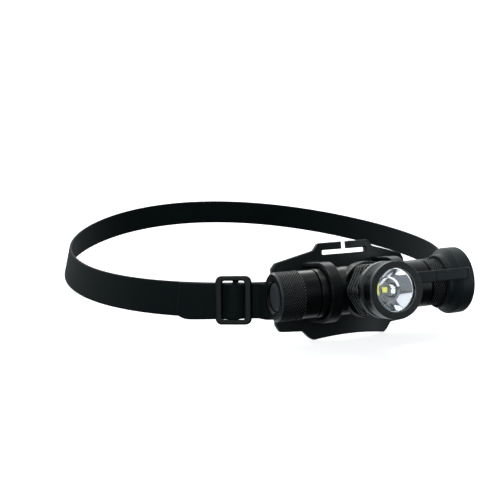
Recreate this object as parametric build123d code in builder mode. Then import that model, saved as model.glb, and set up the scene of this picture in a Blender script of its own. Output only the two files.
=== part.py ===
"""Right-angle safety headlamp on its helmet strap, as an assembly of separate pieces.

Local light frame: X runs along the battery tube, -Y is the way the beam leaves, +Z is up.
The strap and the light are then leaned back so that the bracket's lower tab and the rear of
the strap both stand on Z = 0. All sizes are millimetres and degrees.
"""
from build123d import *
from math import asin, atan2, cos, degrees, pi, radians, sin, sqrt
import os

# ---------------------------------------------------------------- driving dimensions
LEAN = 12.5            # slope of a helmet's front, which the bracket and strap follow
RUN_GAP = 0.1          # radial clearance of threads and sliding fits

# battery tube, along X
TUBE_R = 12.2
BORE_R = 9.6
NECK_R = 10.6          # threaded necks under the two caps
TUBE_LEFT = -25.6
TUBE_RIGHT = 35.2
NECK_LENGTH = 8.0
SEAM = 0.8             # open line between the tube and each cap

# caps
TAIL_CAP_LENGTH = 20.8
TAIL_KNURL_LENGTH = 12.6
END_CAP_LENGTH = 12.0
CAP_CHAMFER = 0.7
CAP_WALL = 3.6
RING_SEAT_R = 11.6     # skirt bore that passes over the O-ring
RING_SEAT_LENGTH = 2.6
BUTTON_HOLE_R = 7.5
BOOT_R = 7.15
BOOT_FLANGE_R = 9.0
PRESS_TRAVEL = 1.2

# head, along -Y: distances from the tube axis
BOSS_R = 14.1
BOSS_FRONT = 11.2
BOSS_START = 4.6
FIN_R = 13.9
FIN_ROOT_R = 11.4
FLAT_APOTHEM = 12.6
FIN_STARTS = (13.2, 15.8, 18.4, 21.9)
FIN_THICKNESS = 1.4
BEZEL_START = 25.2
BEZEL_FRONT = 38.9
BEZEL_R = 13.8
OPENING_R = 10.4
LENS_R = 12.2
LENS_BACK = 34.9
LENS_THICKNESS = 2.0
LED_FACE = 26.2        # where the reflector meets the emitter
REFLECTOR_K = 10.9     # r*r = K * (distance from the parabola's vertex)
REFLECTOR_VERTEX = 25.35

# bracket plate
PLATE_GAP = 0.9        # between the tube and the plate's front face
PLATE_T = 3.4
PLATE_HALF = 38.4
LOOP_IN_R = 12.9
LOOP_T = 2.3
LOOP_NEAR = 16.0
LOOP_FAR = 22.0
HOOK_SLOT = (25.2, 2.3)
HOOK_SLOT_Z = 19.8
HOOK_GAP = 3.2
SIDE_SLOT_FAR = 34.2
SIDE_SLOT_WIDE = 4.0
SIDE_SLOT_TALL = 20.4
SIDE_SLOT_Z = -2.5
STRAP_Z = -3.1         # strap centre line below the tube axis, at the plate

# strap loop and its two adjusters
STRAP_W = 18.5
STRAP_T = 1.5
LAYER_GAP = 0.1        # strap to plate
FOLD_GAP = 0.3         # between the strap's two layers
LOOP_A = 116.0         # half width of the loop
LOOP_B = 138.0         # half length of the loop
STRAP_SAG = 8.0        # how far the loop's sides hang below its front and rear
BUCKLE_AT = 28.3       # ellipse angle of each adjuster, from the front
BAR_END_AT = 19.9      # ellipse angles where the strap leaves the plate's end bar
RAMP_END_AT = 22.8     # and where it has come down on its own inner layer
TAIL_END_AT = 42.7     # ellipse angle where each free end stops
BUCKLE_L = 19.0
BUCKLE_H = 25.2
BUCKLE_T = 1.9
BUCKLE_GAP = 0.35      # running clearance to the strap's faces
BUCKLE_SIDE_GAP = 0.75 # and to its edges
END_BAR = 3.5
CENTRE_BAR = 3.2

# face cap, parked on the right-hand end cap
CAP_LIP_X = 44.3
RIM_R = 17.3
RIM_START = 50.2
RIM_END = 57.6
TETHER_W = 5.6
TETHER_T = 1.8
TETHER_Z = 4.0
TETHER_D = 20.85       # distance in front of the tube axis

# derived
END_CAP_LEFT = TUBE_RIGHT + SEAM
END_CAP_RIGHT = END_CAP_LEFT + END_CAP_LENGTH
TAIL_CAP_RIGHT = TUBE_LEFT - SEAM
TAIL_CAP_LEFT = TAIL_CAP_RIGHT - TAIL_CAP_LENGTH
PLATE_FRONT = TUBE_R + PLATE_GAP
STRAP_FRONT = PLATE_FRONT + PLATE_T + LAYER_GAP + STRAP_T / 2
FRONT_RADIUS = LOOP_A ** 2 / LOOP_B      # curvature of the loop where the plate sits
PLATE_CENTRE_Y = STRAP_FRONT + FRONT_RADIUS
LOOP_OUT_R = LOOP_IN_R + LOOP_T
SPIGOT_BACK = BOSS_FRONT - 0.9
RING_X = (TUBE_LEFT - 1.7, TUBE_RIGHT + 1.7)
OUTER_LAYER = STRAP_T + FOLD_GAP

finished = {}


# ---------------------------------------------------------------- helpers
def turned(axis, *outline):
    """Solid of revolution. Outline points are (along X, radius) or (radius, along Y)."""
    with BuildPart() as body:
        with BuildSketch(Plane.XY):
            with BuildLine():
                Polyline(*outline, close=True)
            make_face()
        revolve(axis=axis)
    return body.part


def on_tube(*outline):
    """Turned about the tube axis from (x, radius) points."""
    return turned(Axis.X, *outline)


def on_head(*outline):
    """Turned about the beam axis from (radius, distance in front of the tube axis) points."""
    return turned(Axis.Y, *[(radius, -distance) for radius, distance in outline])


def keep(name, part, place):
    """Label a finished piece and note where it goes in the assembly."""
    part.label = name
    finished[name] = (part, place)


# ---------------------------------------------------------------- bracket
def plate_outline():
    """Right half of the plate's outline, top centre to bottom centre, in (x, z)."""
    return [(0, 24.8), (14.2, 24.8), (17.0, 21.2), (25.0, 19.2), (36.4, 16.2),
            (PLATE_HALF, 13.4), (PLATE_HALF, -15.6), (36.6, -19.4), (25.4, -19.9),
            (22.6, -23.2), (20.4, -24.8)]


def slot_place(side):
    """Middle of a strap slot, square to the strap that passes through it."""
    x = side * (SIDE_SLOT_FAR - SIDE_SLOT_WIDE / 2)
    turn = asin(x / FRONT_RADIUS)
    y = PLATE_CENTRE_Y - FRONT_RADIUS * cos(turn)
    slope = degrees(sin(radians(LEAN)) * sin(turn))
    return Location((x, y, SIDE_SLOT_Z), (0, 0, degrees(turn))) * Location((0, 0, 0), (0, -slope, 0))


def make_bracket():
    half = plate_outline()
    left = [(-x, z) for x, z in reversed(half[1:])]
    with BuildPart() as bracket:
        # a plate bent round the helmet's front
        with BuildSketch(Plane.XY):
            with Locations((0, PLATE_CENTRE_Y)):
                Circle(FRONT_RADIUS + STRAP_T / 2 + LAYER_GAP + PLATE_T)
                Circle(FRONT_RADIUS + STRAP_T / 2 + LAYER_GAP, mode=Mode.SUBTRACT)
        extrude(amount=30, both=True)
        with BuildSketch(Plane.XZ) as face:
            with BuildLine():
                Polyline(*left, *half)
                ThreePointArc(half[-1], (0, -23.2), left[0])
            make_face()
            corners = [v for v in face.vertices() if abs(v.X) > 1]
            fillet(corners, radius=1.3)
        extrude(amount=40, both=True, mode=Mode.INTERSECT)
        # open hook slot for an over-the-head strap, and the two strap slots
        with BuildSketch(Plane.XZ):
            with Locations((0, HOOK_SLOT_Z)):
                Rectangle(*HOOK_SLOT)
            with Locations((0, HOOK_SLOT_Z + 4)):
                Rectangle(HOOK_GAP, 8)
        extrude(amount=40, both=True, mode=Mode.SUBTRACT)
        for side in (-1, 1):
            with Locations(slot_place(side)):
                Box(SIDE_SLOT_WIDE, 14, SIDE_SLOT_TALL, mode=Mode.SUBTRACT)
        # two loops that hold the tube, with feet that widen towards the plate
        for side in (-1, 1):
            middle = side * (LOOP_NEAR + LOOP_FAR) / 2
            with BuildSketch(Plane.YZ.offset(middle)):
                Circle(LOOP_OUT_R)
                with Locations((PLATE_FRONT / 2 + 0.5, 0)):
                    Rectangle(PLATE_FRONT + 1, 2 * LOOP_OUT_R)
                Circle(LOOP_IN_R, mode=Mode.SUBTRACT)
                with Locations((PLATE_FRONT / 2 + 0.5, 0)):
                    Rectangle(PLATE_FRONT + 1.02, 2 * LOOP_IN_R, mode=Mode.SUBTRACT)
            extrude(amount=(LOOP_FAR - LOOP_NEAR) / 2, both=True)
            for level in (LOOP_IN_R, -LOOP_OUT_R):
                with BuildSketch(Plane.XY.offset(level)):
                    with BuildLine():
                        root = PLATE_FRONT + 1.6
                        Line((side * LOOP_NEAR, -1), (side * LOOP_FAR, -1))
                        Spline((side * LOOP_FAR, -1), (side * (LOOP_FAR + 0.5), 7),
                               (side * (LOOP_FAR + 2.4), root))
                        Line((side * (LOOP_FAR + 2.4), root), (side * (LOOP_NEAR - 1.2), root))
                        Spline((side * (LOOP_NEAR - 1.2), root), (side * (LOOP_NEAR - 0.2), 7),
                               (side * LOOP_NEAR, -1))
                    make_face()
                extrude(amount=LOOP_T)
    return bracket.part


# ---------------------------------------------------------------- strap and adjusters
def loop_point(angle, out):
    """Point of the strap loop, seen from above, at an ellipse angle from the front.

    out is the distance outside the inner layer's middle.
    """
    nx, ny = sin(angle) / LOOP_A, -cos(angle) / LOOP_B
    size = sqrt(nx * nx + ny * ny)
    x = LOOP_A * sin(angle) + out * nx / size
    y = STRAP_FRONT + LOOP_B - LOOP_B * cos(angle) + out * ny / size
    return (x, y)


def strap_point(angle, out, height):
    """Point at a height across the strap, which lies on a cone and hangs lower at its sides."""
    rise = height - STRAP_SAG * sin(angle) ** 2
    lean = radians(LEAN)
    return (*loop_point(angle, out - rise * sin(lean)), rise * cos(lean))


def strap_half(offset):
    """One face line of the strap, as (ellipse angle, distance outside) from rear to free end.

    offset is the distance of this face line from the strap's middle, positive outside
    on the inner layer; it changes side where the strap turns back through its slot.
    """
    slot = asin(SIDE_SLOT_FAR / LOOP_A)
    over_bar = PLATE_T + 2 * LAYER_GAP + STRAP_T
    line = []
    rear_steps = 60
    for i in range(rear_steps + 1):
        line.append((pi + (slot - pi) * i / rear_steps, offset))
    radius = over_bar / 2 - offset
    for i in range(1, 8):
        turn = pi * i / 8
        line.append((slot - radius * sin(turn) / LOOP_A, over_bar / 2 - radius * cos(turn)))
    bar_end, ramp_end = radians(BAR_END_AT), radians(RAMP_END_AT)
    for angle in (slot, (slot + bar_end) / 2, bar_end):
        line.append((angle, over_bar - offset))
    for i in range(1, 4):
        share = (1 - cos(pi * i / 4)) / 2
        level = over_bar + (OUTER_LAYER - over_bar) * share
        line.append((bar_end + (ramp_end - bar_end) * i / 4, level - offset))
    tail_steps = 14
    for i in range(tail_steps + 1):
        angle = ramp_end + (radians(TAIL_END_AT) - ramp_end) * i / tail_steps
        line.append((angle, OUTER_LAYER - offset))
    return line


def strap_edge(offset, height):
    """One long corner of the strap, from the left free end round the rear to the right one."""
    half = strap_half(offset)
    whole = [(-angle, out) for angle, out in half[::-1]] + half[1:]
    return Edge.make_spline([Vector(*strap_point(angle, out, height)) for angle, out in whole])


def make_strap():
    corners = [strap_edge(side * STRAP_T / 2, edge * STRAP_W / 2)
               for side, edge in ((1, -1), (1, 1), (-1, 1), (-1, -1))]
    faces = [Face.make_surface_from_curves(corners[i], corners[(i + 1) % 4]) for i in range(4)]
    for end in (0, 1):
        tips = [corner.position_at(end) for corner in corners]
        faces.append(Face(Wire.make_polygon(tips, close=True)))
    strap = Solid(Shell(faces))
    return Part() + strap


def make_buckle():
    """Three-bar adjuster, built flat: X along the strap, -Y outside, Z across the strap.

    The end bars lie outside both strap layers and the centre bar inside them.
    """
    inner_face = -(OUTER_LAYER + STRAP_T / 2 + BUCKLE_GAP)
    rail = (BUCKLE_H - STRAP_W) / 2 - BUCKLE_SIDE_GAP
    window = BUCKLE_H - 2 * rail
    with BuildPart() as buckle:
        with BuildSketch(Plane.XZ.offset(-inner_face)):
            RectangleRounded(BUCKLE_L, BUCKLE_H, 3.2)
            RectangleRounded(BUCKLE_L - 2 * END_BAR, window, 1.2, mode=Mode.SUBTRACT)
        extrude(amount=BUCKLE_T)
        fillet(buckle.faces().sort_by(Axis.Y)[0].edges(), radius=0.55)
        bar_face = STRAP_T / 2 + BUCKLE_GAP
        bar_t = 1.3
        with BuildSketch(Plane.XY.offset(-window / 2 - rail / 2)):
            with Locations((0, bar_face + bar_t / 2)):
                Rectangle(CENTRE_BAR, bar_t)
        extrude(amount=window + rail)
        for side in (-1, 1):
            low = side * (window + rail) / 2 - rail / 2
            with BuildSketch(Plane.XY.offset(low)):
                with Locations((0, (inner_face + bar_face + bar_t) / 2 - 0.1)):
                    Rectangle(CENTRE_BAR, bar_face + bar_t - inner_face + 0.2)
            extrude(amount=rail)
    return buckle.part


def buckle_place(side):
    """Where an adjuster sits on the strap, in the strap's own frame."""
    angle = radians(BUCKLE_AT) * side
    step = 0.001
    here = Vector(*strap_point(angle, 0, 0))
    along = (Vector(*strap_point(angle + step, 0, 0)) - here).normalized()
    across = Vector(*strap_point(angle, 0, 1)) - here
    across = (across - along * across.dot(along)).normalized()
    return Plane(here, x_dir=along, z_dir=across).location


# ---------------------------------------------------------------- light body
def make_battery_tube():
    left_neck = TUBE_LEFT - NECK_LENGTH
    right_neck = TUBE_RIGHT + NECK_LENGTH
    with BuildPart() as tube:
        add(on_tube((TUBE_LEFT, 0), (TUBE_LEFT, TUBE_R - 0.3), (TUBE_LEFT + 0.3, TUBE_R),
                    (TUBE_RIGHT - 0.3, TUBE_R), (TUBE_RIGHT, TUBE_R - 0.3), (TUBE_RIGHT, 0)))
        # cross boss that carries the head; its back follows the tube so that the light can tilt
        add(on_head((0, 0), (BOSS_R - 0.5, 0), (BOSS_R - 0.5, BOSS_START), (BOSS_R, BOSS_START + 0.5),
                    (BOSS_R, BOSS_FRONT - 0.5), (BOSS_R - 0.5, BOSS_FRONT), (0, BOSS_FRONT)))
        add(on_tube((left_neck, 0), (left_neck, NECK_R), (right_neck, NECK_R), (right_neck, 0)))
        add(on_tube((left_neck - 1, 0), (left_neck - 1, BORE_R), (right_neck + 1, BORE_R),
                    (right_neck + 1, 0)), mode=Mode.SUBTRACT)
        for x in RING_X:
            add(on_tube((x - 0.65, NECK_R + 1), (x - 0.65, NECK_R - 0.4), (x + 0.65, NECK_R - 0.4),
                        (x + 0.65, NECK_R + 1)), mode=Mode.SUBTRACT)
        # socket for the head, and the way through for its leads
        add(on_head((0, 8), (2.6, 8), (2.6, SPIGOT_BACK), (FIN_ROOT_R - 0.4, SPIGOT_BACK),
                    (FIN_ROOT_R - 0.4, BOSS_FRONT), (FIN_ROOT_R + 0.05, BOSS_FRONT),
                    (FIN_ROOT_R + 0.05, BOSS_FRONT + 1.5), (0, BOSS_FRONT + 1.5)), mode=Mode.SUBTRACT)
    return tube.part


def make_heat_sink():
    """Finned head: driver pocket behind, emitter shelf, threaded neck for the bezel in front."""
    fin_tops = []
    for start in FIN_STARTS:
        fin_tops += [(FIN_ROOT_R, start), (FIN_R, start + 0.25),
                     (FIN_R, start + FIN_THICKNESS - 0.25), (FIN_ROOT_R, start + FIN_THICKNESS)]
    spigot = SPIGOT_BACK + 0.05
    neck_front = 33.4
    with BuildPart() as sink:
        add(on_head((2.6, spigot), (FIN_ROOT_R - 0.5, spigot), (FIN_ROOT_R - 0.5, BOSS_FRONT),
                    (FIN_ROOT_R, BOSS_FRONT), *fin_tops, (FIN_ROOT_R, BEZEL_START),
                    (12.6, BEZEL_START), (12.6, neck_front), (11.8, neck_front),
                    (11.8, 27.0), (10.4, 27.0), (10.4, 25.2), (3.0, 25.2), (3.0, 21.6),
                    (9.4, 21.6), (9.4, 13.0), (2.6, 13.0)))
        # six milled flats across the fins
        with BuildSketch(Plane.XZ.offset(BOSS_FRONT)):
            Circle(FIN_R + 2)
            RegularPolygon(FLAT_APOTHEM, 6, major_radius=False, rotation=0, mode=Mode.SUBTRACT)
        extrude(amount=BEZEL_START - BOSS_FRONT - 0.05, mode=Mode.SUBTRACT)
    return sink.part


def make_bezel():
    lip_back = LENS_BACK + LENS_THICKNESS + 0.5
    return on_head((12.7, BEZEL_START + 0.15), (BEZEL_R - 0.3, BEZEL_START + 0.15),
                   (BEZEL_R, BEZEL_START + 0.45), (BEZEL_R, BEZEL_FRONT - 0.9),
                   (BEZEL_R - 0.5, BEZEL_FRONT),
                   (OPENING_R + 1.1, BEZEL_FRONT), (OPENING_R, lip_back + 0.2),
                   (OPENING_R, lip_back), (LENS_R + 0.2, lip_back), (LENS_R + 0.2, 33.6),
                   (12.7, 33.6))


def make_reflector():
    """Smooth parabolic cup with a seat flange at its mouth."""
    front = LENS_BACK - 0.05
    steps = 16
    inside = []
    for i in range(steps + 1):
        distance = LED_FACE + (front - LED_FACE) * i / steps
        inside.append((sqrt(REFLECTOR_K * (distance - REFLECTOR_VERTEX)), distance))
    back = [(radius + 0.7, distance) for radius, distance in inside[:-3]]
    mouth = inside[-1][0]
    outline = inside + [(mouth + 1.2, front), (mouth + 1.2, front - 1.0)] + back[::-1]
    return on_head(*outline)


def make_small_optics():
    """Lens, seals, emitter and its board."""
    lens_front = LENS_BACK + LENS_THICKNESS
    keep("lens", on_head((0, LENS_BACK), (LENS_R, LENS_BACK), (LENS_R, lens_front - 0.3),
                         (LENS_R - 0.3, lens_front), (0, lens_front)), "light")
    keep("lens_gasket", on_head((OPENING_R + 0.3, lens_front), (LENS_R, lens_front),
                                (LENS_R, lens_front + 0.45), (OPENING_R + 0.3, lens_front + 0.45)),
         "light")
    keep("centring_ring", on_head((2.4, 25.5), (5.2, 25.5), (5.2, LED_FACE - 0.1),
                                  (2.4, LED_FACE - 0.1)), "light")
    with BuildPart() as board:
        with BuildSketch(Plane.XZ.offset(23.8)):
            Circle(2.8)
        extrude(amount=1.6)
        with BuildSketch(Plane.XZ.offset(25.22)):
            Circle(8.0)
        extrude(amount=0.26)
    keep("led_board", board.part, "light")
    with BuildPart() as package:
        with BuildSketch(Plane.XZ.offset(25.5)):
            Rectangle(3.2, 3.2)
        extrude(amount=0.45)
    keep("led_package", package.part, "light")
    with BuildPart() as emitter:
        with BuildSketch(Plane.XZ.offset(25.97)):
            Rectangle(2.4, 2.4)
        extrude(amount=0.35)
        fillet(emitter.faces().sort_by(Axis.Y)[0].edges(), radius=0.15)
    keep("led_emitter", emitter.part, "light")


def make_driver():
    """Round circuit board with its tall parts, and the two leads to the battery tube."""
    keep("driver_board", on_head((0, 15.0), (9.2, 15.0), (9.2, 16.2), (0, 16.2)), "light")
    with BuildPart() as parts:
        with BuildSketch(Plane.XZ.offset(16.25)):
            with Locations((-2.6, 2.2)):
                Rectangle(5.0, 5.0)
            with Locations((3.6, -2.4)):
                Circle(2.2)
            with Locations((-3.0, -4.0)):
                Rectangle(3.4, 2.0)
        extrude(amount=3.2)
    keep("driver_components", parts.part, "light")
    with BuildPart() as leads:
        with BuildSketch(Plane.XZ.offset(10.0)):
            with Locations((-1.1, 0), (1.1, 0)):
                Circle(0.6)
        extrude(amount=4.9)
    keep("lead_wires", leads.part, "light")


def torus_on_tube(x, major, minor):
    """O-ring lying round the tube axis at x."""
    with BuildPart() as ring:
        with BuildSketch(Plane.XY):
            with Locations((x, major)):
                Circle(minor)
        revolve(axis=Axis.X)
    return ring.part


def torus_on_head(distance, major, minor):
    """O-ring lying round the beam axis."""
    with BuildPart() as ring:
        with BuildSketch(Plane.XY):
            with Locations((major, -distance)):
                Circle(minor)
        revolve(axis=Axis.Y)
    return ring.part


# ---------------------------------------------------------------- caps and switch
def make_tail_cap():
    face = TAIL_CAP_LEFT
    wall = face + CAP_WALL
    thread_end = TAIL_CAP_RIGHT - NECK_LENGTH
    knurl_end = face + TAIL_KNURL_LENGTH
    return on_tube((face, BUTTON_HOLE_R + 0.5), (face, TUBE_R - CAP_CHAMFER),
                   (face + CAP_CHAMFER, TUBE_R), (knurl_end, TUBE_R), (knurl_end + 0.25, TUBE_R - 0.15),
                   (TAIL_CAP_RIGHT - 0.3, TUBE_R - 0.15), (TAIL_CAP_RIGHT, TUBE_R - 0.4),
                   (TAIL_CAP_RIGHT, RING_SEAT_R), (TAIL_CAP_RIGHT - RING_SEAT_LENGTH, RING_SEAT_R),
                   (TAIL_CAP_RIGHT - RING_SEAT_LENGTH, NECK_R + RUN_GAP), (thread_end, NECK_R + RUN_GAP),
                   (thread_end, BORE_R), (wall, BORE_R), (wall, BUTTON_HOLE_R),
                   (face + 0.6, BUTTON_HOLE_R))


def make_switch():
    face = TAIL_CAP_LEFT
    wall = face + CAP_WALL
    crown = 0.5
    boot_face = face + 0.45
    keep("switch_boot", on_tube((boot_face, 0), (boot_face + 0.05, BOOT_R * 0.55),
                                (boot_face + 0.25, BOOT_R - 0.8), (boot_face + crown + 0.5, BOOT_R),
                                (wall - 0.1, BOOT_R), (wall - 0.1, BOOT_R - 1.2),
                                (boot_face + 1.6, BOOT_R - 1.4), (boot_face + 1.4, 0)), "light")
    keep("switch_plunger", on_tube((boot_face + 1.52, 0), (boot_face + 1.52, 2.6), (wall + 0.6, 2.6),
                                   (wall + 0.6, 0)), "light")
    keep("boot_retainer", on_tube((wall, BOOT_R + 0.2), (wall, BORE_R - 0.05),
                                  (wall + 1.4, BORE_R - 0.05), (wall + 1.4, BOOT_R + 0.2)), "light")
    module = wall + 2.0
    module_end = module + 5.6
    keep("switch_module", on_tube((module, 3.0), (module, BORE_R - 0.15), (module_end, BORE_R - 0.15),
                                  (module_end, 0), (module_end - 2.5, 0), (module_end - 2.5, 3.0)),
         "light")
    keep("tail_spring", on_tube((module_end, 3.4), (module_end, 4.2), (module_end + 2.9, 2.6),
                                (module_end + 2.9, 1.8)), "light")
    return module_end + 2.9


def make_end_cap():
    left, right = END_CAP_LEFT, END_CAP_RIGHT
    thread_end = TUBE_RIGHT + NECK_LENGTH + 0.3
    keep("end_cap", on_tube((left, RING_SEAT_R), (left, TUBE_R - 0.3), (left + 0.3, TUBE_R),
                            (right - CAP_CHAMFER, TUBE_R), (right, TUBE_R - CAP_CHAMFER), (right, 0),
                            (thread_end, 0), (thread_end, NECK_R + RUN_GAP),
                            (left + RING_SEAT_LENGTH, NECK_R + RUN_GAP),
                            (left + RING_SEAT_LENGTH, RING_SEAT_R)), "light")
    plate = thread_end - 0.6
    keep("end_contact", on_tube((plate, 0), (plate, 8.0), (thread_end, 8.0), (thread_end, 0)), "light")
    return plate


def make_battery(tail_spring_tip, end_plate):
    nub = tail_spring_tip + 0.02
    left = nub + 1.2
    right = left + 67.0
    keep("battery_button", on_tube((nub, 0), (nub, 3.6), (left, 3.6), (left, 0)), "light")
    keep("battery_cell", on_tube((left, 0), (left, 8.6), (left + 0.6, 9.2), (right - 0.6, 9.2),
                                 (right, 8.6), (right, 0)), "light")
    keep("end_spring", on_tube((right + 0.02, 2.6), (right + 0.02, 3.4), (end_plate, 7.0),
                               (end_plate, 6.2)), "light")


# ---------------------------------------------------------------- face cap
def make_face_cap():
    """Rubber cap: narrow neck on the end cap, flared mouth that fits over the bezel."""
    neck_in = TUBE_R + 0.05
    seat = END_CAP_RIGHT + 0.3
    mouth_in = BEZEL_R + 0.15
    with BuildPart() as cap:
        with BuildSketch(Plane.XY):
            with BuildLine():
                Polyline((RIM_START, RIM_R), (RIM_END - 0.8, RIM_R), (RIM_END, RIM_R - 0.8),
                         (RIM_END, mouth_in + 1.2), (RIM_END - 0.8, mouth_in),
                         (seat + 4.2, mouth_in), (seat + 4.2, mouth_in - 0.3),
                         (seat + 2.6, mouth_in - 0.3), (seat + 2.6, neck_in - 1.2),
                         (seat, neck_in - 1.2), (seat, neck_in), (CAP_LIP_X, neck_in),
                         (CAP_LIP_X, neck_in + 1.2), (CAP_LIP_X + 0.5, neck_in + 1.7),
                         (CAP_LIP_X + 1.4, neck_in + 1.5), (CAP_LIP_X + 2.3, neck_in + 1.6))
                Spline((CAP_LIP_X + 2.3, neck_in + 1.6), (CAP_LIP_X + 4.3, RIM_R - 1.7),
                       (RIM_START, RIM_R), tangents=((1, 0.15), (1, 0.1)))
            make_face()
        revolve(axis=Axis.X)
    keep("face_cap", cap.part, "light")
    lens_r = mouth_in - 0.4
    keep("diffuser", on_tube((seat + 2.65, 0), (seat + 2.65, lens_r), (seat + 3.7, lens_r),
                             (seat + 4.1, 0)), "light")


def make_tether():
    """Flat rubber tie from a ring round the head's groove to the face cap's rim."""
    band = TETHER_T / 2
    ring_out = FLAT_APOTHEM - 0.15
    ring_in = FIN_ROOT_R + 0.02
    keep("tether_ring", on_head((ring_in, TETHER_D - band), (ring_out, TETHER_D - band),
                                (ring_out, TETHER_D + band), (ring_in, TETHER_D + band)), "light")
    start = 12.6
    bend = RIM_START - 1.0
    foot = RIM_START + 3.4
    rim_front = -sqrt(RIM_R ** 2 - (TETHER_Z + TETHER_W / 2) ** 2)
    with BuildPart() as tether:
        with BuildSketch(Plane.XY.offset(TETHER_Z - TETHER_W / 2)):
            with BuildLine():
                Line((start, -TETHER_D - band), (bend, -TETHER_D - band))
                Spline((bend, -TETHER_D - band), (foot - 0.4, -TETHER_D + 0.6),
                       (foot + 0.6, -RIM_R - 0.05), tangents=((1, 0), (0.1, 1)))
                Line((foot + 0.6, -RIM_R - 0.05), (foot - 1.4, -RIM_R - 0.05))
                Spline((foot - 1.4, -RIM_R - 0.05), (foot - 2.4, -TETHER_D + band + 0.4),
                       (bend - 2.0, -TETHER_D + band), tangents=((-0.1, -1), (-1, 0)))
                Line((bend - 2.0, -TETHER_D + band), (start, -TETHER_D + band))
                Line((start, -TETHER_D + band), (start, -TETHER_D - band))
            make_face()
        extrude(amount=TETHER_W)
    keep("tether_strap", tether.part, "light")


# ---------------------------------------------------------------- assembly
def make_all():
    keep("mounting_bracket", make_bracket(), "light")
    keep("head_strap", make_strap(), "strap")
    buckle = make_buckle()
    keep("left_buckle", buckle.moved(buckle_place(-1)), "strap")
    keep("right_buckle", buckle.moved(buckle_place(1)), "strap")
    keep("battery_tube", make_battery_tube(), "light")
    keep("heat_sink", make_heat_sink(), "light")
    keep("bezel", make_bezel(), "light")
    keep("reflector", make_reflector(), "light")
    make_small_optics()
    make_driver()
    keep("head_ring", torus_on_head(BEZEL_START - 0.75, FIN_ROOT_R + 0.5, 0.45), "light")
    keep("tail_ring", torus_on_tube(RING_X[0], NECK_R + 0.15, 0.5), "light")
    keep("end_ring", torus_on_tube(RING_X[1], NECK_R + 0.15, 0.5), "light")
    keep("tail_cap", make_tail_cap(), "light")
    spring_tip = make_switch()
    end_plate = make_end_cap()
    make_battery(spring_tip, end_plate)
    make_face_cap()
    make_tether()


def light_to_worn():
    """The light and bracket lean back with the helmet's front."""
    return Location((0, 0, 0), (-LEAN, 0, 0))


def strap_to_worn():
    """The strap's level plane, set so that its front passes through the plate's slots."""
    lean = radians(LEAN)
    front_y = STRAP_FRONT * cos(lean) + STRAP_Z * sin(lean)
    front_z = -STRAP_FRONT * sin(lean) + STRAP_Z * cos(lean)
    return Location((0, front_y - STRAP_FRONT, front_z))


def rest_lean():
    """Extra lean that sets both the plate's tab and the strap's lower edge on the floor."""
    lean = radians(LEAN)
    tab_y = PLATE_FRONT + PLATE_T
    tab_z = plate_outline()[-1][1]
    low_y = tab_y * cos(lean) + tab_z * sin(lean)
    low_z = -tab_y * sin(lean) + tab_z * cos(lean)
    move = strap_to_worn().position
    leans = []
    for i in range(91):
        _, y, z = strap_point(pi / 2 + pi / 2 * i / 90, STRAP_T / 2, -STRAP_W / 2)
        leans.append(atan2(z + move.Z - low_z, y + move.Y - low_y))
    return degrees(min(leans))


def main():
    make_all()
    stand = Location((0, 0, 0), (-rest_lean(), 0, 0))
    places = {"light": stand * light_to_worn(), "strap": stand * strap_to_worn()}
    placed = {name: part.moved(places[place]) for name, (part, place) in finished.items()}
    boxes = [part.bounding_box() for part in placed.values()]
    middle_x = (min(box.min.X for box in boxes) + max(box.max.X for box in boxes)) / 2
    middle_y = (min(box.min.Y for box in boxes) + max(box.max.Y for box in boxes)) / 2
    drop = Location((-middle_x, -middle_y, -min(box.min.Z for box in boxes)))
    print("rest lean", rest_lean(), "shift", drop.position)
    os.makedirs("parts", exist_ok=True)
    for name, part in placed.items():
        part = part.moved(drop)
        part.label = name
        export_step(part, f"parts/{name}.step")


main()
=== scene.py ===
"""Looks of the helmet headlamp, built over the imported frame. Metres, row frame."""
from math import asin, atan2, cos, floor, hypot, pi, radians, sin, sqrt

import bmesh
import bpy
from mathutils import Matrix, Vector


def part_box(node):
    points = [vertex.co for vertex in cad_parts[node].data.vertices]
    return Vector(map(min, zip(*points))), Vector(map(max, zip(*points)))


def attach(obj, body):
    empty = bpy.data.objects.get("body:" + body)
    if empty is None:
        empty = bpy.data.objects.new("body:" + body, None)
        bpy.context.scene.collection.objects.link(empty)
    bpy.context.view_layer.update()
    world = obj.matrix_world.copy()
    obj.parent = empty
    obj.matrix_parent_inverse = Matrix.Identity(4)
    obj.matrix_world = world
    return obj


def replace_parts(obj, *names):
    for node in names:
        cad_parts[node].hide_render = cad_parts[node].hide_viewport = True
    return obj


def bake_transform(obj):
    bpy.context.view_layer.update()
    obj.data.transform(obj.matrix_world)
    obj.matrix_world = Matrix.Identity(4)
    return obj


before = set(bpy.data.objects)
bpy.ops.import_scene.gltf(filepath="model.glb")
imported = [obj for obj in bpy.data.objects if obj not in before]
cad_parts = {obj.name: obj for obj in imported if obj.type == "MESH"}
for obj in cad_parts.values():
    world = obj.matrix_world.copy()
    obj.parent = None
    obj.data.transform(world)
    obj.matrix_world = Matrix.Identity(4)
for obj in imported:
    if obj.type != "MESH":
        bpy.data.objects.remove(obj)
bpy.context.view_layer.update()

# ------------------------------------------------------------------ frames of the light and strap
MM = 0.001
WELD = 1e-7                      # metres
LEAN = 12.5                      # helmet front's slope
STAND = 1.4876                   # extra lean that sets the part on the floor
cell_low, cell_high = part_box("battery_cell")
AXIS_Y = (cell_low[1] + cell_high[1]) / 2
AXIS_Z = (cell_low[2] + cell_high[2]) / 2
LIGHT = (Matrix.Translation((0, AXIS_Y, AXIS_Z)) @ Matrix.Rotation(radians(-LEAN - STAND), 4, "X")
         @ Matrix.Scale(MM, 4))
STRAP_FRONT = 17.35
STRAP_Z = -3.1
front_y = STRAP_FRONT * cos(radians(LEAN)) + STRAP_Z * sin(radians(LEAN))
front_z = -STRAP_FRONT * sin(radians(LEAN)) + STRAP_Z * cos(radians(LEAN))
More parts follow.
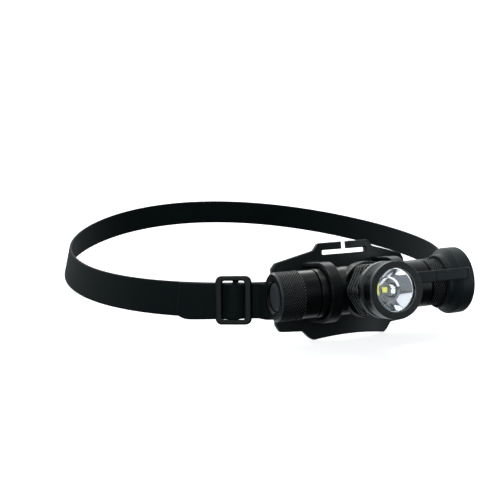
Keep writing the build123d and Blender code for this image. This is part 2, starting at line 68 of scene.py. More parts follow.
STRAP = (Matrix.Translation((0, AXIS_Y, AXIS_Z)) @ Matrix.Rotation(radians(-STAND), 4, "X")
         @ Matrix.Scale(MM, 4) @ Matrix.Translation((0, front_y - STRAP_FRONT, front_z)))


# ------------------------------------------------------------------ materials
def shader(name, base, rough, metallic=0.0, specular=0.5, sheen=0.0):
    m = bpy.data.materials.new(name)
    m.use_nodes = True
    b = m.node_tree.nodes["Principled BSDF"]
    b.inputs["Base Color"].default_value = (*base, 1)
    b.inputs["Roughness"].default_value = rough
    b.inputs["Metallic"].default_value = metallic
    b.inputs["Specular IOR Level"].default_value = specular
    b.inputs["Sheen Weight"].default_value = sheen
    b.inputs["Sheen Roughness"].default_value = 0.5
    return m


def node(m, kind, **settings):
    n = m.node_tree.nodes.new(kind)
    for key, value in settings.items():
        setattr(n, key, value)
    return n


def link(m, a, b):
    m.node_tree.links.new(a, b)


def coords(m, stretch=(1, 1, 1)):
    tc = node(m, "ShaderNodeTexCoord")
    mapping = node(m, "ShaderNodeMapping")
    mapping.inputs["Scale"].default_value = stretch
    link(m, tc.outputs["Object"], mapping.inputs["Vector"])
    return mapping.outputs["Vector"]


def noise(m, vector, scale, detail=4.0, rough=0.6):
    n = node(m, "ShaderNodeTexNoise")
    n.inputs["Scale"].default_value = scale
    n.inputs["Detail"].default_value = detail
    n.inputs["Roughness"].default_value = rough
    link(m, vector, n.inputs["Vector"])
    return n.outputs["Fac"]


def ranged(m, value, low, high, start=0.3, end=0.7):
    r = node(m, "ShaderNodeMapRange")
    r.inputs["From Min"].default_value = start
    r.inputs["From Max"].default_value = end
    r.inputs["To Min"].default_value = low
    r.inputs["To Max"].default_value = high
    link(m, value, r.inputs["Value"])
    return r.outputs["Result"]


def colours(m, value, low, high, start=0.3, end=0.7):
    ramp = node(m, "ShaderNodeValToRGB")
    ramp.color_ramp.elements[0].position = start
    ramp.color_ramp.elements[0].color = (*low, 1)
    ramp.color_ramp.elements[1].position = end
    ramp.color_ramp.elements[1].color = (*high, 1)
    link(m, value, ramp.inputs["Fac"])
    return ramp.outputs["Color"]


def add(m, a, b, share=0.5):
    n = node(m, "ShaderNodeMath", operation="MULTIPLY_ADD")
    n.inputs[1].default_value = share
    link(m, a, n.inputs[0])
    link(m, b, n.inputs[2])
    return n.outputs["Value"]


def bump(m, value, distance):
    n = node(m, "ShaderNodeBump")
    n.inputs["Distance"].default_value = distance
    n.inputs["Strength"].default_value = 1.0
    link(m, value, n.inputs["Height"])
    link(m, n.outputs["Normal"], m.node_tree.nodes["Principled BSDF"].inputs["Normal"])


def surface(name, low, high, rough, patch, grain, depth, stretch=(1, 1, 1), **more):
    """Material with colour patches, uneven gloss and a fine grain, all from noise."""
    m = shader(name, low, sum(rough) / 2, **more)
    b = m.node_tree.nodes["Principled BSDF"]
    where = coords(m, stretch)
    broad = noise(m, where, patch)
    fine = noise(m, where, grain, 3.0)
    link(m, colours(m, broad, low, high), b.inputs["Base Color"])
    link(m, ranged(m, add(m, broad, fine, 0.5), rough[0], rough[1], 0.4, 1.1), b.inputs["Roughness"])
    bump(m, fine, depth)
    return m


ANODISED = surface("anodised black", (0.0026, 0.0030, 0.0032), (0.0052, 0.0058, 0.0060),
                   (0.24, 0.36), 120, 5200, 0.000003, specular=0.5)
ANODISED_FINE = surface("anodised black, fine turned", (0.0024, 0.0027, 0.0030), (0.0046, 0.0050, 0.0053),
                        (0.22, 0.32), 150, 6500, 0.000002, specular=0.5)
KNURLED = surface("anodised black, knurled", (0.0026, 0.0030, 0.0032), (0.0050, 0.0056, 0.0058),
                  (0.20, 0.30), 120, 5200, 0.000002, specular=0.30)
# painted highlight: the light grey on the fins' chamfered crest edges stands in for the bright lines the
# lights draw there
CREST_HIGHLIGHT = surface("anodised crest, painted highlight", (0.13, 0.14, 0.145), (0.22, 0.235, 0.24),
               (0.26, 0.36), 900, 5200, 0.000002, specular=0.6)
# painted highlight: a lighter grey on the knurl's tops stands in for the glints of the lights on the diamond
# peaks
KNURL_HIGHLIGHT = surface("anodised knurl ridge, painted highlight", (0.050, 0.058, 0.060), (0.090, 0.102, 0.104),
                (0.26, 0.36), 900, 5200, 0.000002, specular=0.5)
# painted highlight: a grey on the rounded edges stands in for the thin bright lines of light along them
EDGE_HIGHLIGHT = surface("anodised edge, painted highlight", (0.040, 0.044, 0.046), (0.085, 0.090, 0.092),
               (0.24, 0.34), 500, 5200, 0.000002, specular=0.6)
FACE = surface("bezel face", (0.0060, 0.0068, 0.0070), (0.0090, 0.0100, 0.0100),
               (0.40, 0.52), 160, 6000, 0.000002, specular=0.45)
MOULDED = surface("moulded nylon", (0.0040, 0.0058, 0.0062), (0.0072, 0.0096, 0.0100),
                  (0.32, 0.44), 90, 2600, 0.000008, specular=0.27)
BUCKLE = surface("moulded acetal", (0.0008, 0.0010, 0.0011), (0.0018, 0.0022, 0.0023),
                 (0.34, 0.46), 150, 3200, 0.000006, specular=0.22)
STRAP_RUBBER = surface("strap rubber", (0.0034, 0.0072, 0.0080), (0.0054, 0.0102, 0.0112),
                       (0.58, 0.74), 60, 2400, 0.000012, specular=0.14, sheen=0.01)
CAP_RUBBER = surface("moulded rubber", (0.0100, 0.0150, 0.0168), (0.0150, 0.0212, 0.0235),
                     (0.42, 0.56), 110, 3000, 0.000008, specular=0.28, sheen=0.03)
BUTTON_RUBBER = surface("button rubber", (0.0110, 0.0150, 0.0210), (0.0180, 0.0230, 0.0300),
                        (0.42, 0.56), 260, 2600, 0.000020, specular=0.42, sheen=0.03)
SEAL = surface("seal rubber", (0.010, 0.010, 0.010), (0.016, 0.016, 0.016), (0.5, 0.65), 200, 4000, 0.00001)
WHITE_PLASTIC = surface("white plastic", (0.66, 0.67, 0.66), (0.74, 0.74, 0.72),
                        (0.35, 0.5), 300, 5000, 0.000004)
RING_GREY = surface("centring ring", (0.60, 0.61, 0.66), (0.72, 0.73, 0.78), (0.35, 0.5), 300, 5000, 0.000004)
BOARD = surface("board", (0.60, 0.62, 0.62), (0.72, 0.73, 0.72), (0.3, 0.45), 300, 5000, 0.000004)
GREEN = surface("circuit board", (0.010, 0.09, 0.035), (0.015, 0.13, 0.05), (0.25, 0.4), 500, 4000, 0.000006)
BLACK_PARTS = surface("electronic parts", (0.015, 0.015, 0.015), (0.03, 0.03, 0.03),
                      (0.4, 0.6), 400, 5000, 0.00001)
WIRE = surface("wire sleeve", (0.35, 0.02, 0.015), (0.45, 0.03, 0.02), (0.35, 0.5), 300, 3000, 0.000006)
CELL = surface("cell sleeve", (0.03, 0.07, 0.20), (0.04, 0.09, 0.26), (0.2, 0.32), 120, 3000, 0.000006)
BRASS = surface("plated contact", (0.62, 0.46, 0.20), (0.74, 0.58, 0.28), (0.2, 0.36), 300, 5000, 0.000004,
                metallic=1.0)
DIFFUSER = surface("diffuser", (0.62, 0.64, 0.65), (0.70, 0.72, 0.73), (0.45, 0.6), 100, 2500, 0.00001)
MIRROR = surface("reflector", (0.88, 0.88, 0.93), (0.94, 0.94, 0.97), (0.06, 0.11), 90, 2500, 0.0000008,
                 metallic=0.88)
PHOSPHOR = surface("phosphor", (0.80, 0.74, 0.10), (0.90, 0.84, 0.16), (0.4, 0.55), 900, 9000, 0.000006)
# painted glow: the phosphor square gives off a faint light of its own so that it looks bright
glow = PHOSPHOR.node_tree.nodes["Principled BSDF"].inputs
glow["Emission Color"].default_value = (0.78, 0.80, 0.18, 1)
glow["Emission Strength"].default_value = 0.8


def clear_glass():
    m = shader("clear lens", (0.98, 1.0, 0.99), 0.02, specular=0.5)
    b = m.node_tree.nodes["Principled BSDF"]
    b.inputs["Transmission Weight"].default_value = 1.0
    b.inputs["IOR"].default_value = 1.45
    where = coords(m)
    link(m, ranged(m, noise(m, where, 150), 0.0, 0.02), b.inputs["Roughness"])
    return m


GLASS = clear_glass()


# ------------------------------------------------------------------ mesh helpers
def make(name, verts, faces, place, body, materials):
    """Closed smooth mesh from points in millimetres, welded and riding its body."""
    mesh = bpy.data.meshes.new(name)
    mesh.from_pydata([place @ Vector(v) for v in verts], [], faces)
    bm = bmesh.new()
    bm.from_mesh(mesh)
    bmesh.ops.remove_doubles(bm, verts=bm.verts, dist=WELD)
    bmesh.ops.recalc_face_normals(bm, faces=bm.faces)
    bm.to_mesh(mesh)
    bm.free()
    obj = bpy.data.objects.new(name, mesh)
    bpy.context.scene.collection.objects.link(obj)
    for m in materials:
        mesh.materials.append(m)
    for p in mesh.polygons:
        p.use_smooth = True
    if body:
        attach(obj, body)
    return obj


def rounded(points, radii, steps=4):
    """Closed outline with its corners rounded, and a close point each side to hold the shading."""
    out = []
    count = len(points)
    for i, p in enumerate(points):
        r = radii[i] if isinstance(radii, (list, tuple)) else radii
        a, b, c = Vector(points[i - 1]), Vector(p), Vector(points[(i + 1) % count])
        u, v = (a - b), (c - b)
        lu, lv = u.length, v.length
        turn = u.angle(v) if lu > 1e-9 and lv > 1e-9 else pi
        if r <= 0 or turn > radians(178):
            out.append(tuple(b))
            continue
        cut = min(r / max(0.05, abs(sin(turn / 2) / cos(turn / 2))), lu * 0.45, lv * 0.45)
        u.normalize()
        v.normalize()
        hold = min(0.06, lu * 0.04, lv * 0.04)
        out.append(tuple(b + u * (cut + hold)))
        for k in range(steps + 1):
            t = k / steps
            out.append(tuple((b + u * cut) * (1 - t) ** 2 + b * 2 * t * (1 - t) + (b + v * cut) * t ** 2))
        out.append(tuple(b + v * (cut + hold)))
    return out


def lathe(name, outline, about, body, materials, segments=160, shape=None, pick=None):
    """Outline points are (x, r) about the tube, or (r, d) about the head, in mm, closed."""
    verts, faces = [], []
    count = len(outline)
    for k in range(segments):
        phi = 2 * pi * k / segments
        for p in outline:
            along, r = p if about == "tube" else (p[1], p[0])
            if shape:
                r = shape(along, r, phi)
            if about == "tube":
                verts.append((along, r * cos(phi), r * sin(phi)))
            else:
                verts.append((r * cos(phi), -along, r * sin(phi)))
    for k in range(segments):
        for i in range(count):
            j, n = (i + 1) % count, (k + 1) % segments
            faces.append((k * count + i, k * count + j, n * count + j, n * count + i))
    obj = make(name, verts, faces, LIGHT, body, materials)
    if pick:
        back = LIGHT.inverted()
        for p in obj.data.polygons:
            c = back @ p.center
            p.material_index = pick(c)
    return obj


def frac_near(v):
    return abs(v - floor(v + 0.5))


def knurl(start, end, around, pitch, depth, top_r):
    """Radius function of a diamond knurl between two places along the tube."""
    def shape(x, r, phi):
        if r < top_r - 0.02 or x < start or x > end:
            return r
        turns = around * phi / (2 * pi)
        run = (x - start) / pitch
        near = min(frac_near(turns + run), frac_near(turns - run))
        fade = min(1.0, (x - start) / 0.12, (end - x) / 0.12)
        return r - depth * max(0.0, 1 - near / 0.40) * fade
    return shape


def ridge(c):
    """Painted highlights on the tops of the knurl and on the outer edge of the switch end."""
    r = hypot(c.y, c.z)
    knurled = TAIL_LEFT + 0.9 < c.x < TAIL_LEFT + 12.6 or END_LEFT + 0.6 < c.x < END_RIGHT - 1.2
    if knurled:
        return 1 if r > TUBE_R - 0.13 else 0
    return 2 if c.x < TAIL_LEFT + 0.74 and r > TUBE_R - 0.85 else 0


def crest(c):
    """Chamfered edges of the fins where the flats are milled, given a painted highlight colour, and the
    duller floors of the grooves.
    """
    r, d = hypot(c.x, c.z), -c.y
    corner = atan2(c.z, c.x) % (pi / 3) - pi / 6
    if d < 23.4 and abs(corner) < 0.42 and FLAT - 0.14 < r * cos(corner) < FLAT - 0.02:
        return 1
    return 2 if 13.0 < d < 25.18 and r < FLAT - 0.3 else 0


def bezel_finish(c):
    """Bead-blasted front face, and a painted highlight on the outer rim, the groove edge and the inner bevel.
    """
    r, d = hypot(c.x, c.z), -c.y
    # worn selects the painted highlights; on the inner bevel it is a painted reflection of the glass edge
    worn = d > 38.42 and r > 13.42 or d > 37.6 and r < 10.8 or 30.5 < d < 31.3 and 13.5 < r < 13.78
    return 2 if worn and d < 38.88 else 1 if d > 38.85 else 0


def knurl_points(start, end, pitch, radius, per=8):
    count = int((end - start) / pitch * per + 0.5)
    return [(start + (end - start) * i / count, radius) for i in range(count + 1)]


# ------------------------------------------------------------------ light body
TUBE_R, TUBE_LEFT, TUBE_RIGHT = 12.2, -25.6, 35.2
TAIL_LEFT, TAIL_RIGHT = -47.2, -26.4
END_LEFT, END_RIGHT = 36.0, 48.0
END_INSIDE = 43.56               # inner face of the end cap, clear of the contact
AROUND, PITCH, KNURL_DEPTH = 46, 1.27, 0.46

tube = rounded([(TUBE_LEFT - 8, 9.6), (TUBE_LEFT - 8, 10.6), (TUBE_LEFT, 10.6), (TUBE_LEFT, TUBE_R),
                (TUBE_RIGHT, TUBE_R), (TUBE_RIGHT, 10.6), (TUBE_RIGHT + 8, 10.6), (TUBE_RIGHT + 8, 9.6)],
               [0, 0, 0, 0.28, 0.28, 0, 0, 0])
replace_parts(lathe("tube_body", tube, "tube", "light", [ANODISED]), "battery_tube")

boss = rounded([(3, 2), (13.2, 2), (14.1, 4.0), (14.1, 11.2), (3, 11.2)], [0, 0.6, 0.8, 0.5, 0])
lathe("head_boss", boss, "head", "light", [ANODISED])

knurl_end = TAIL_LEFT + 12.6
outside = ([(TAIL_LEFT + 0.75, TUBE_R - 0.10)] + knurl_points(TAIL_LEFT + 0.85, knurl_end, PITCH, TUBE_R)
           + [(knurl_end + 0.1, TUBE_R - 0.16), (knurl_end + 0.4, TUBE_R - 0.18),
              (TAIL_RIGHT - 0.5, TUBE_R - 0.18)])
edge = rounded([(TAIL_LEFT + 0.75, TUBE_R - 0.10), (TAIL_LEFT, TUBE_R - 0.95), (TAIL_LEFT, 8.6),
                (TAIL_LEFT + 0.9, 7.55), (TAIL_LEFT + 3.6, 7.5), (TAIL_LEFT + 3.6, 9.6),
                (TAIL_RIGHT - 8, 9.6), (TAIL_RIGHT - 8, 10.7), (TAIL_RIGHT - 2.6, 10.7),
                (TAIL_RIGHT - 2.6, 11.6), (TAIL_RIGHT, 11.6), (TAIL_RIGHT, TUBE_R - 0.18)],
               [0, 0.18, 0.35, 0.3, 0, 0, 0, 0, 0, 0, 0.1, 0.25])
tail = outside + edge[::-1][:-1]
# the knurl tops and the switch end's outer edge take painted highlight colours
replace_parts(lathe("tail_cap_knurled", tail, "tube", "tail_cap", [KNURLED, KNURL_HIGHLIGHT, EDGE_HIGHLIGHT],
                  AROUND * 8, knurl(TAIL_LEFT + 0.85, knurl_end, AROUND, PITCH, KNURL_DEPTH, TUBE_R), ridge),
            "tail_cap")

outside = ([(END_LEFT + 0.5, TUBE_R)] + knurl_points(END_LEFT + 0.6, END_RIGHT - 1.2, PITCH, TUBE_R)
           + [(END_RIGHT - 1.1, TUBE_R)])
edge = rounded([(END_RIGHT - 0.7, TUBE_R), (END_RIGHT, TUBE_R - 0.7), (END_RIGHT, 0), (END_INSIDE, 0),
                (END_INSIDE, 10.7), (END_LEFT + 2.6, 10.7), (END_LEFT + 2.6, 11.6), (END_LEFT, 11.6),
                (END_LEFT, TUBE_R - 0.2), (END_LEFT + 0.2, TUBE_R)],
               [0.1, 0.1, 0, 0, 0, 0, 0, 0, 0.1, 0.1])
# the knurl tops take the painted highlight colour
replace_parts(lathe("end_cap_knurled", outside + edge, "tube", "end_cap", [KNURLED, KNURL_HIGHLIGHT],
                  AROUND * 8,
                  knurl(END_LEFT + 0.6, END_RIGHT - 1.2, AROUND, PITCH, KNURL_DEPTH, TUBE_R), ridge),
            "end_cap")

# finned head: deep grooves, fins with six flats
FLAT = 12.6
fins = []
for start in (13.2, 15.8, 18.4, 21.9):
    fins += [(11.4, start), (11.4, start + 0.02), (13.75, start + 0.05), (13.9, start + 0.2),
             (13.9, start + 1.2), (13.75, start + 1.35), (11.4, start + 1.38), (11.4, start + 1.4)]
head = ([(2.6, 10.4), (10.9, 10.4), (10.9, 11.2), (11.4, 11.3)] + fins
        + [(11.4, 25.1), (12.6, 25.2), (12.6, 33.4), (11.8, 33.4), (11.8, 27.0), (10.4, 27.0), (10.4, 25.2),
           (3.0, 25.2), (3.0, 21.6), (9.4, 21.6), (9.4, 13.0), (2.6, 13.0)])


def flats(d, r, phi):
    if r < FLAT or d > 25.15:
        return r
    corner = phi % (pi / 3) - pi / 6
    edge_r = FLAT / cos(corner)
    return min(r, edge_r - 0.16 if r < 13.8 else edge_r)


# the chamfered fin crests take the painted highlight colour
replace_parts(lathe("finned_head", head, "head", "light", [ANODISED_FINE, CREST_HIGHLIGHT, KNURLED],
                  240, flats, crest),
            "heat_sink")

bezel = rounded([(12.7, 25.35), (13.8, 25.35), (13.8, 30.6), (13.5, 30.8), (13.5, 31.0), (13.8, 31.2),
                 (13.8, 38.9), (10.4, 38.9), (10.4, 37.4), (12.4, 37.4), (12.4, 33.6), (12.7, 33.6)],
                [0.2, 0.35, 0, 0, 0, 0, 0.55, 0.25, 0, 0, 0, 0])
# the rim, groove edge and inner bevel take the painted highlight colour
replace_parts(lathe("bezel_turned", bezel, "head", "bezel", [ANODISED_FINE, FACE, EDGE_HIGHLIGHT], 192,
                  pick=bezel_finish),
            "bezel")

# smooth parabolic mirror
CUP_APEX, CUP_BACK, CUP_FRONT, CUP_SPREAD = 25.35, 26.2, 34.85, 10.9
cup = []
for i in range(41):
    d = CUP_BACK + (CUP_FRONT - CUP_BACK) * i / 40
    cup.append((sqrt(CUP_SPREAD * (d - CUP_APEX)), d))
cup += [(11.35, CUP_FRONT), (11.35, 33.9), (10.4, 33.6), (3.8, CUP_BACK)]
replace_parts(lathe("mirror_cup", cup, "head", "light", [MIRROR], 192), "reflector")

lens = rounded([(0, 34.9), (12.2, 34.9), (12.2, 36.9), (0, 36.9)], [0, 0.1, 0.3, 0])
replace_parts(lathe("lens_disc", lens, "head", "lens_stack", [GLASS], 128), "lens")

# button: rubber dome sunk in the tail cap
BOOT_R, BOOT_FACE = 7.15, -46.75
dome = [(BOOT_FACE + 0.9 * (r / BOOT_R) ** 6 + 0.12 * (1 - (r / BOOT_R) ** 2), r) for r in
        [BOOT_R * (1 - (1 - k / 16) ** 1.6) for k in range(17)]]
dome = dome + [(-43.7, BOOT_R), (-43.7, 5.9), (-45.2, 5.6), (-45.3, 0)]
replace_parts(lathe("button_boot", dome, "tube", "button", [BUTTON_RUBBER], 128), "switch_boot")

# ------------------------------------------------------------------ rubber face cap and its tether
neck, seat, rim, mouth = 12.25, 48.3, 17.3, 13.95
flare = []
for k in range(17):
    t = k / 16
    ease = t * t * (3 - 2 * t)
    flare.append((46.6 + 3.9 * t, 13.85 + (rim - 13.85) * ease ** 0.9))
cap = ([(44.3, neck), (44.3, neck + 1.1)]
       + [(44.5, neck + 1.5), (44.8, neck + 1.68), (45.2, neck + 1.66), (45.9, neck + 1.5)]
       + flare
       + [(51.4, rim), (53.6, rim), (55.8, rim - 0.02), (57.0, rim - 0.1), (57.4, rim - 0.4),
          (57.6, rim - 0.9), (57.6, mouth + 1.3), (57.4, mouth + 0.9), (56.8, mouth), (52.5, mouth),
          (52.5, mouth - 0.3), (50.9, mouth - 0.3), (50.9, neck - 1.2), (seat, neck - 1.2), (seat, neck)])
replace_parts(lathe("rubber_cap", cap, "tube", "face_cap", [CAP_RUBBER], 160), "face_cap")

TETHER_Z, TETHER_D, TETHER_W, TETHER_T = 4.0, 20.85, 5.6, 1.8
path = [(12.55, -TETHER_D), (20, -TETHER_D), (28, -TETHER_D), (36, -TETHER_D), (43, -TETHER_D),
        (46.5, -TETHER_D), (48.6, -TETHER_D + 0.05), (50.6, -TETHER_D + 0.45), (52.0, -TETHER_D + 1.3),
        (52.7, -TETHER_D + 2.4), (52.9, -TETHER_D + 3.4)]


def band(name, points, width, thick, level, place, body, material, corner=0.45):
    """Flat band lying on edge along (x, y) points, with rounded edges."""
    verts, faces = [], []
    section = rounded([(-thick / 2, -width / 2), (thick / 2, -width / 2), (thick / 2, width / 2),
                       (-thick / 2, width / 2)], corner, 3)
    n = len(section)
    for i, p in enumerate(points):
        a, b = points[max(0, i - 1)], points[min(len(points) - 1, i + 1)]
        run = hypot(b[0] - a[0], b[1] - a[1])
        nx, ny = -(b[1] - a[1]) / run, (b[0] - a[0]) / run
        for o, h in section:
            verts.append((p[0] + nx * o, p[1] + ny * o, level + h))
    for i in range(len(points) - 1):
        for k in range(n):
            j = (k + 1) % n
            faces.append((i * n + k, i * n + j, (i + 1) * n + j, (i + 1) * n + k))
    faces += [tuple(range(n)), tuple(range((len(points) - 1) * n, len(points) * n))]
    return make(name, verts, faces, place, body, [material])


def curve_through(points, per=8):
    """Catmull-Rom points through a short list."""
    out = []
    for i in range(len(points) - 1):
        p0, p1 = points[max(0, i - 1)], points[i]
        p2, p3 = points[i + 1], points[min(len(points) - 1, i + 2)]
        for k in range(per):
            t = k / per
            out.append(tuple(0.5 * (2 * b + (c - a) * t + (2 * a - 5 * b + 4 * c - d) * t * t
                                    + (3 * b - a - 3 * c + d) * t ** 3)
                             for a, b, c, d in zip(p0, p1, p2, p3)))
    return out + [points[-1]]


# the tie is made in two lengths that meet at 32 mm along the tube, from the head end to the face cap; both
# are baked in place and ride no body
tie = curve_through(path, 5)
MIDDLE = 32
near_half = [p for p in tie if p[0] < MIDDLE] + [(MIDDLE, -TETHER_D)]
far_half = [(MIDDLE, -TETHER_D)] + [p for p in tie if p[0] > MIDDLE]
for name, points, bodies, span in (("tether_near_half", near_half, ("light", "end_contacts"), (14, MIDDLE)),
                                   ("tether_far_half", far_half, ("end_contacts", "face_cap"), (MIDDLE, 48))):
    half = band(name, points, TETHER_W, TETHER_T, TETHER_Z, LIGHT, None, CAP_RUBBER)
    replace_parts(half, "tether_strap")
    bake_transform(half)

# ------------------------------------------------------------------ strap
LOOP_A, LOOP_B, SAG = 116.0, 138.0, 8.0
STRAP_T = 1.5
STRAP_W = 18.2                   # the solid is 18.5; the rest is clearance to the moulded adjusters
TAIL_DROOP, TAIL_CORNER, CORNER_RISE = 1.4, 8.0, 4.6
TAIL_ARC = 125                   # mm of strap for each radian near the tail
SWELL_HALF, SWELL_ARC, SWELL_T = 5.4, 122, 1.3
OVER_BAR, OUTER = 5.1, 1.8
SLOT = asin(34.2 / LOOP_A)
BAR_END, RAMP_END, TAIL_END, BUCKLE_AT = radians(19.9), radians(22.8), radians(42.7), radians(28.3)


def loop_point(angle, out, height):
    rise = height - SAG * sin(angle) ** 2
    out -= rise * sin(radians(LEAN))
    nx, ny = sin(angle) / LOOP_A, -cos(angle) / LOOP_B
    size = hypot(nx, ny)
    return (LOOP_A * sin(angle) + out * nx / size, STRAP_FRONT + LOOP_B * (1 - cos(angle)) + out * ny / size,
            rise * cos(radians(LEAN)))


def strap_line():
    """(ellipse angle, distance outside the inner layer) from the rear to the free end."""
    line = [(pi + (SLOT - pi) * i / 110, 0.0) for i in range(111)]
    half = OVER_BAR / 2
    line += [(SLOT - half * sin(pi * i / 12) / LOOP_A, half - half * cos(pi * i / 12)) for i in range(1, 12)]
    line += [(SLOT + (BAR_END - SLOT) * i / 3, OVER_BAR) for i in range(4)]
    for i in range(1, 9):
        share = (1 - cos(pi * i / 8)) / 2
        line.append((BAR_END + (RAMP_END - BAR_END) * i / 8, OVER_BAR + (OUTER - OVER_BAR) * share))
    line += [(RAMP_END + (TAIL_END - RAMP_END) * i / 40, OUTER) for i in range(1, 41)]
    return line


def heights(angle, out):
    """Lower and upper edge of the strap at a place along it."""
    low, high = -STRAP_W / 2, STRAP_W / 2
    if out > OUTER - 0.01 and angle > RAMP_END:
        droop = max(0.0, min(1.0, (angle - BUCKLE_AT) / (TAIL_END - BUCKLE_AT)))
        low -= TAIL_DROOP * droop
        left = (TAIL_END - angle) * TAIL_ARC
        if left < TAIL_CORNER:
            rise = 1 - sqrt(max(0.0, 1 - (1 - left / TAIL_CORNER) ** 2))
            low += CORNER_RISE * rise
    return low, high


def strap_mesh(name, line, thick, body):
    """Strip along (side, angle, out) places, with eased edges."""
    verts, faces = [], []
    steps = [0, 0.004, 0.02, 0.04, 0.25, 0.5, 0.75, 0.96, 0.98, 0.996, 1]
    edge_in = [0.30, 0.14, 0.03, 0, 0, 0, 0, 0, 0.03, 0.14, 0.30]
    ring = [(-thick / 2 + e, s) for s, e in zip(steps, edge_in)]
    ring += [(thick / 2 - e, s) for s, e in zip(reversed(steps), reversed(edge_in))]
    n = len(ring)
    for side, angle, out in line:
        low, high = heights(angle, out)
        for o, s in ring:
            verts.append(loop_point(side * angle, out + o, low + (high - low) * s))
    for i in range(len(line) - 1):
        for k in range(n):
            j = (k + 1) % n
            faces.append((i * n + k, i * n + j, (i + 1) * n + j, (i + 1) * n + k))
    faces += [tuple(range(n)), tuple(range((len(line) - 1) * n, len(line) * n))]
    return make(name, verts, faces, STRAP, body, [STRAP_RUBBER])


half_line = strap_line()
full = [(-1, a, o) for a, o in reversed(half_line)] + [(1, a, o) for a, o in half_line[1:]]
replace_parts(strap_mesh("strap_band", full, STRAP_T, "bracket"), "head_strap")

# where the strap swells over each adjuster's centre bar
for side, body in ((-1, "left_adjuster"), (1, "right_adjuster")):
    swell = []
    for i in range(25):
        t = i / 24 * 2 - 1
        lift = 0.15 + 1.8 * cos(t * pi / 2) ** 0.9
        swell.append((side, BUCKLE_AT + t * SWELL_HALF / SWELL_ARC, OUTER + lift))
    strap_mesh("strap_over_" + body, swell, SWELL_T, body)


# ------------------------------------------------------------------ moulded pieces, with soft edges
def softened(source, name, body, material, voxel, rounds):
    """The CAD solid's own shape with its edges moulded round."""
    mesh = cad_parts[source].data.copy()
    mesh.name = name
    obj = bpy.data.objects.new(name, mesh)
    bpy.context.scene.collection.objects.link(obj)
    mesh.materials.clear()
    mesh.materials.append(material)
    remesh = obj.modifiers.new("remesh", "REMESH")
    remesh.mode = "VOXEL"
    remesh.voxel_size = voxel
    smooth = obj.modifiers.new("smooth", "SMOOTH")
    smooth.iterations = rounds
    smooth.factor = 0.5
    graph = bpy.context.evaluated_depsgraph_get()
    done = bpy.data.meshes.new_from_object(obj.evaluated_get(graph))
    obj.modifiers.clear()
    obj.data = done
    for p in done.polygons:
        p.use_smooth = True
    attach(obj, body)
    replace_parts(obj, source)
    return obj


softened("mounting_bracket", "bracket_moulded", "bracket", MOULDED, 0.00036, 3)
softened("left_buckle", "left_buckle_moulded", "left_adjuster", BUCKLE, 0.00028, 3)
softened("right_buckle", "right_buckle_moulded", "right_adjuster", BUCKLE, 0.00028, 3)

# ------------------------------------------------------------------ finishes of the nodes that stay
FINISH = {
    "lens_gasket": SEAL, "head_ring": SEAL, "tail_ring": SEAL, "end_ring": SEAL, "centring_ring": RING_GREY,
    "led_package": WHITE_PLASTIC, "led_emitter": PHOSPHOR, "led_board": BOARD, "driver_board": GREEN,
    "driver_components": BLACK_PARTS, "lead_wires": WIRE, "battery_cell": CELL, "battery_button": BRASS,
    "switch_plunger": WHITE_PLASTIC, "switch_module": BLACK_PARTS, "boot_retainer": ANODISED,
    "tail_spring": BRASS, "end_spring": BRASS, "end_contact": BRASS, "diffuser": DIFFUSER,
    "tether_ring": CAP_RUBBER,
}
for name, material in FINISH.items():
    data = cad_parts[name].data
    data.materials.clear()
    data.materials.append(material)

# ------------------------------------------------------------------ camera, floor and light
CAMERA_AT = (-216.1, -427.9, 25.2)   # mm, in the light's own frame
CAMERA_TURN, CAMERA_DROP, CAMERA_ROLL = 20.37, 0.14, -4.48
CAMERA_LENS, CAMERA_SENSOR = 67.69, 36
FLOOR = 60                       # metres each way
camera = bpy.data.cameras.new("camera")
camera.sensor_width = CAMERA_SENSOR
camera.lens = CAMERA_LENS
camera.clip_start = 0.02
eye = bpy.data.objects.new("camera", camera)
bpy.context.scene.collection.objects.link(eye)
turned, roll = radians(CAMERA_TURN), radians(CAMERA_ROLL)
forward = Vector((sin(turned), cos(turned), -sin(radians(CAMERA_DROP)))).normalized()
level = Vector((cos(turned), -sin(turned), 0))
right = level * cos(roll) + level.cross(forward) * sin(roll)
worn = Matrix.Rotation(radians(-LEAN - STAND), 3, "X")
forward, right = worn @ forward, worn @ right
up = right.cross(forward)
eye.matrix_world = Matrix.Translation(LIGHT @ Vector(CAMERA_AT)) @ Matrix(
    (right, up, -forward)).transposed().to_4x4()
bpy.context.scene.camera = eye


def white_floor():
    m = shader("floor", (0.80, 0.80, 0.80), 0.8, specular=0.1)
    b = m.node_tree.nodes["Principled BSDF"]
    b.inputs["Emission Color"].default_value = (1, 1, 1, 1)
    b.inputs["Emission Strength"].default_value = 0.80
    return m


floor_mesh = bpy.data.meshes.new("floor")
floor_mesh.from_pydata([(-FLOOR, -FLOOR, 0), (FLOOR, -FLOOR, 0), (FLOOR, FLOOR, 0), (-FLOOR, FLOOR, 0)],
                       [], [(0, 1, 2, 3)])
floor_obj = bpy.data.objects.new("floor", floor_mesh)
bpy.context.scene.collection.objects.link(floor_obj)
floor_mesh.materials.append(white_floor())
floor_obj.visible_glossy = False
floor_obj.visible_diffuse = False


def area(name, location, target, size, power, colour):
    data = bpy.data.lights.new(name, "AREA")
    data.shape = "RECTANGLE"
    data.size, data.size_y = size
    data.energy = power
    data.color = colour
    obj = bpy.data.objects.new(name, data)
    bpy.context.scene.collection.objects.link(obj)
    obj.location = location
    obj.rotation_euler = (Vector(target) - Vector(location)).to_track_quat("-Z", "Y").to_euler()
    return obj


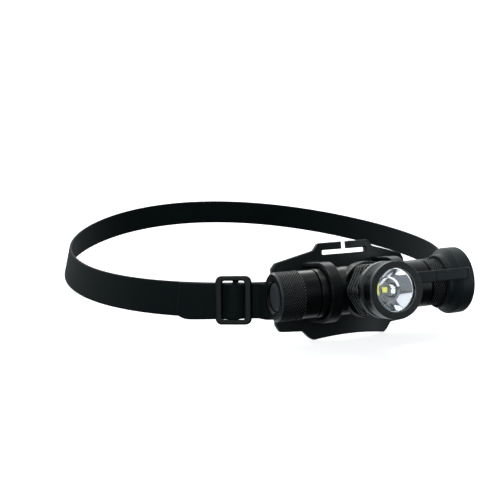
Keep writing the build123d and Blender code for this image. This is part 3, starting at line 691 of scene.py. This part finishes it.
area("overhead", (0.02, -0.08, 0.75), (0, -0.12, 0), (0.40, 0.18), 1.7, (1.0, 0.96, 0.90))
area("dome", (0.05, 0.60, 0.42), (0, -0.10, 0.03), (0.8, 0.35), 2.4, (1.0, 0.98, 0.94))
area("key", (-0.8, -0.9, 0.45), (0, -0.14, 0.03), (0.34, 0.7), 2.6, (0.82, 0.94, 1.0))
area("side", (0.75, -0.9, 0.20), (0, -0.14, 0.03), (0.30, 0.8), 2.0, (0.86, 0.95, 1.0))

world = bpy.data.worlds.new("studio")
bpy.context.scene.world = world
world.use_nodes = True
back = world.node_tree.nodes["Background"]
back.inputs["Color"].default_value = (0.88, 0.96, 1.0, 1)


def world_node(kind, **settings):
    n = world.node_tree.nodes.new(kind)
    for key, value in settings.items():
        setattr(n, key, value)
    return n


def world_range(value, start, end, low, high):
    r = world_node("ShaderNodeMapRange", interpolation_type="SMOOTHSTEP")
    for key, number in (("From Min", start), ("From Max", end), ("To Min", low), ("To Max", high)):
        r.inputs[key].default_value = number
    world.node_tree.links.new(value, r.inputs["Value"])
    return r.outputs["Result"]


# white behind the light, dark behind the camera
seen = world_node("ShaderNodeLightPath")
where = world_node("ShaderNodeTexCoord")
split = world_node("ShaderNodeSeparateXYZ")
world.node_tree.links.new(where.outputs["Generated"], split.inputs["Vector"])
behind = world_range(split.outputs["Y"], 0.05, 0.55, 0.03, 0.60)
above = world_range(split.outputs["Z"], -0.05, 0.30, 0.0, 0.26)
both = world_node("ShaderNodeMath", operation="ADD")
world.node_tree.links.new(behind, both.inputs[0])
world.node_tree.links.new(above, both.inputs[1])
larger = world_node("ShaderNodeMath", operation="MAXIMUM")
world.node_tree.links.new(both.outputs["Value"], larger.inputs[0])
world.node_tree.links.new(world_range(seen.outputs["Is Camera Ray"], 0, 1, 0.0, 1.15), larger.inputs[1])
world.node_tree.links.new(larger.outputs["Value"], back.inputs["Strength"])
bpy.context.scene.view_settings.view_transform = "Standard"

bpy.context.view_layer.update()
